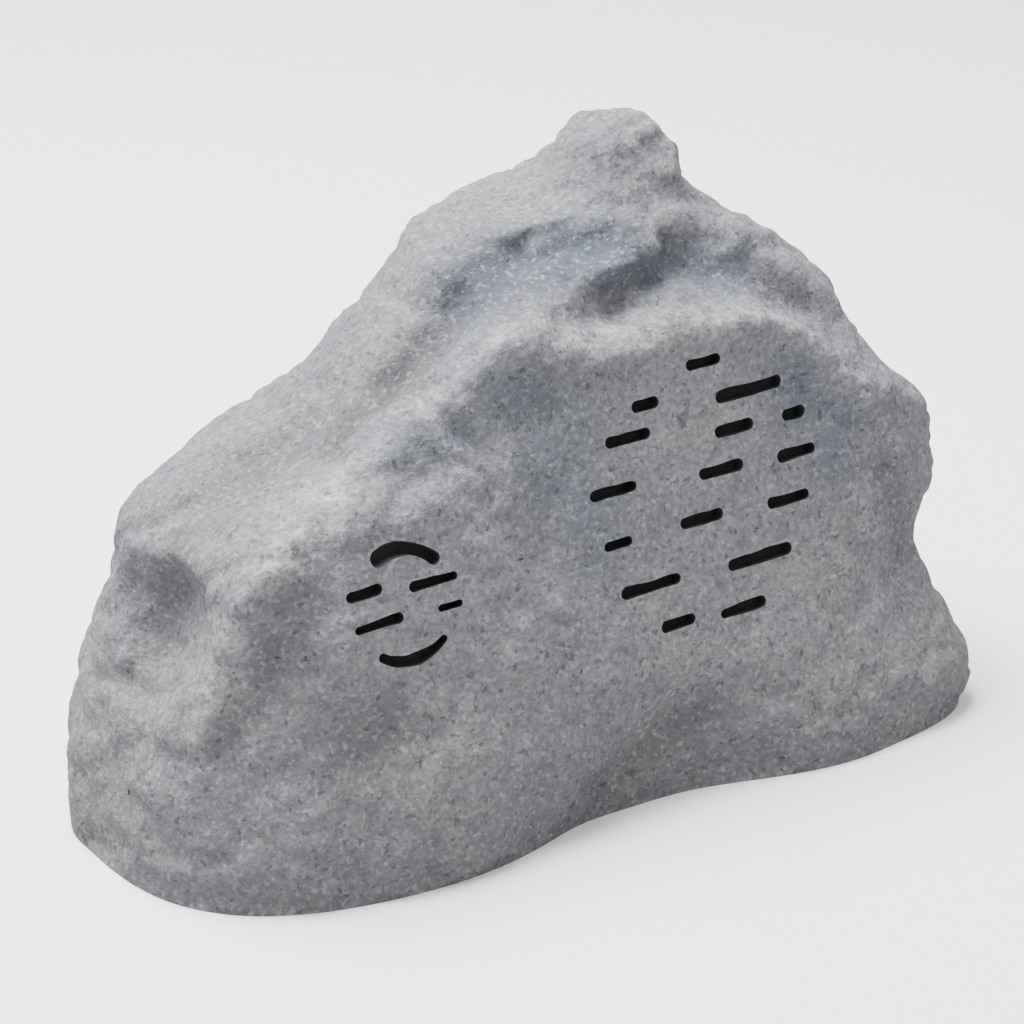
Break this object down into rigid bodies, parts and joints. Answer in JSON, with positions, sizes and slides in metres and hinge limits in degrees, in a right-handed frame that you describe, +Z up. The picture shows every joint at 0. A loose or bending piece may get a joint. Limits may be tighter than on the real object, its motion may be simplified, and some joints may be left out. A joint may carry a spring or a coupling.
{
  "type": "rock shaped garden speaker",
  "caption": "Hollow moulded boulder in speckled grey stone finish that hides a two-way outdoor loudspeaker behind slots cut in its face.",
  "frame": {"origin": "middle of the part's bounding box, on the ground under its foot", "axes": "+Z up, +X along the rock's length to the right of someone facing its slots, slots face -Y"},
  "size_m": [0.4326, 0.2788, 0.294],
  "materials": {
    "rock_skin": "textured and painted stone grey",
    "base_plastic": "matt black moulded",
    "zinc_screw": "zinc plated",
    "gasket_foam": "matt closed cell",
    "screen_cloth": "woven black",
    "basket_steel": "black painted pressing",
    "motor_steel": "zinc plated",
    "ferrite": "dull dark grey",
    "coil_copper": "enamelled winding",
    "cone_poly": "satin black",
    "surround_rubber": "soft matt",
    "spider_cloth": "impregnated cloth",
    "terminal_board": "laminated board",
    "faceplate_plastic": "satin black",
    "dome_film": "smooth film",
    "board_laminate": "solder mask",
    "can_black": "sleeved can",
    "film_box": "moulded case",
    "ceramic": "ceramic body",
    "block_green": "moulded",
    "lead_red": "insulated lead",
    "lead_black": "insulated lead",
    "gland_nylon": "moulded nylon",
    "seal_rubber": "soft"
  },
  "bodies": {
    "enclosure": {"rock_shell": "rock_skin", "base_plate": "base_plastic", "base_gasket": "gasket_foam", "base_screws": "zinc_screw", "woofer_screen": "screen_cloth", "woofer_gasket": "gasket_foam", "woofer_basket": "basket_steel", "woofer_screws": "zinc_screw", "woofer_top_plate": "motor_steel", "woofer_magnet": "ferrite", "woofer_yoke": "motor_steel", "woofer_surround": "surround_rubber", "woofer_spider": "spider_cloth", "woofer_terminals": "terminal_board", "tweeter_screen": "screen_cloth", "tweeter_gasket": "gasket_foam", "tweeter_faceplate": "faceplate_plastic", "tweeter_screws": "zinc_screw", "tweeter_dome": "dome_film", "tweeter_voice_coil": "coil_copper", "tweeter_top_plate": "motor_steel", "tweeter_magnet": "ferrite", "tweeter_yoke": "motor_steel", "tweeter_terminals": "terminal_board", "crossover_board": "board_laminate", "crossover_screws": "zinc_screw", "woofer_inductor": "coil_copper", "tweeter_inductor": "coil_copper", "woofer_capacitor": "can_black", "tweeter_capacitor": "film_box", "tweeter_resistor": "ceramic", "input_terminal_block": "block_green", "woofer_lead_plus": "lead_red", "woofer_lead_minus": "lead_black", "tweeter_lead_plus": "lead_red", "tweeter_lead_minus": "lead_black", "gland_washer": "seal_rubber", "gland_body": "gland_nylon", "gland_seal": "seal_rubber", "gland_dome_nut": "gland_nylon", "gland_locknut": "gland_nylon"},
    "woofer_moving_parts": {"woofer_cone": "cone_poly", "woofer_dust_cap": "cone_poly", "woofer_voice_coil": "coil_copper"}
  },
  "joints": [
    {"name": "cone_travel", "type": "slide", "parent": "enclosure", "child": "woofer_moving_parts", "axis": [0, -0.9659, 0.2588], "range_m": [-0.004, 0.004], "stiffness_N_per_m": 1250, "deforming": ["woofer_surround", "woofer_spider"]}
  ]
}
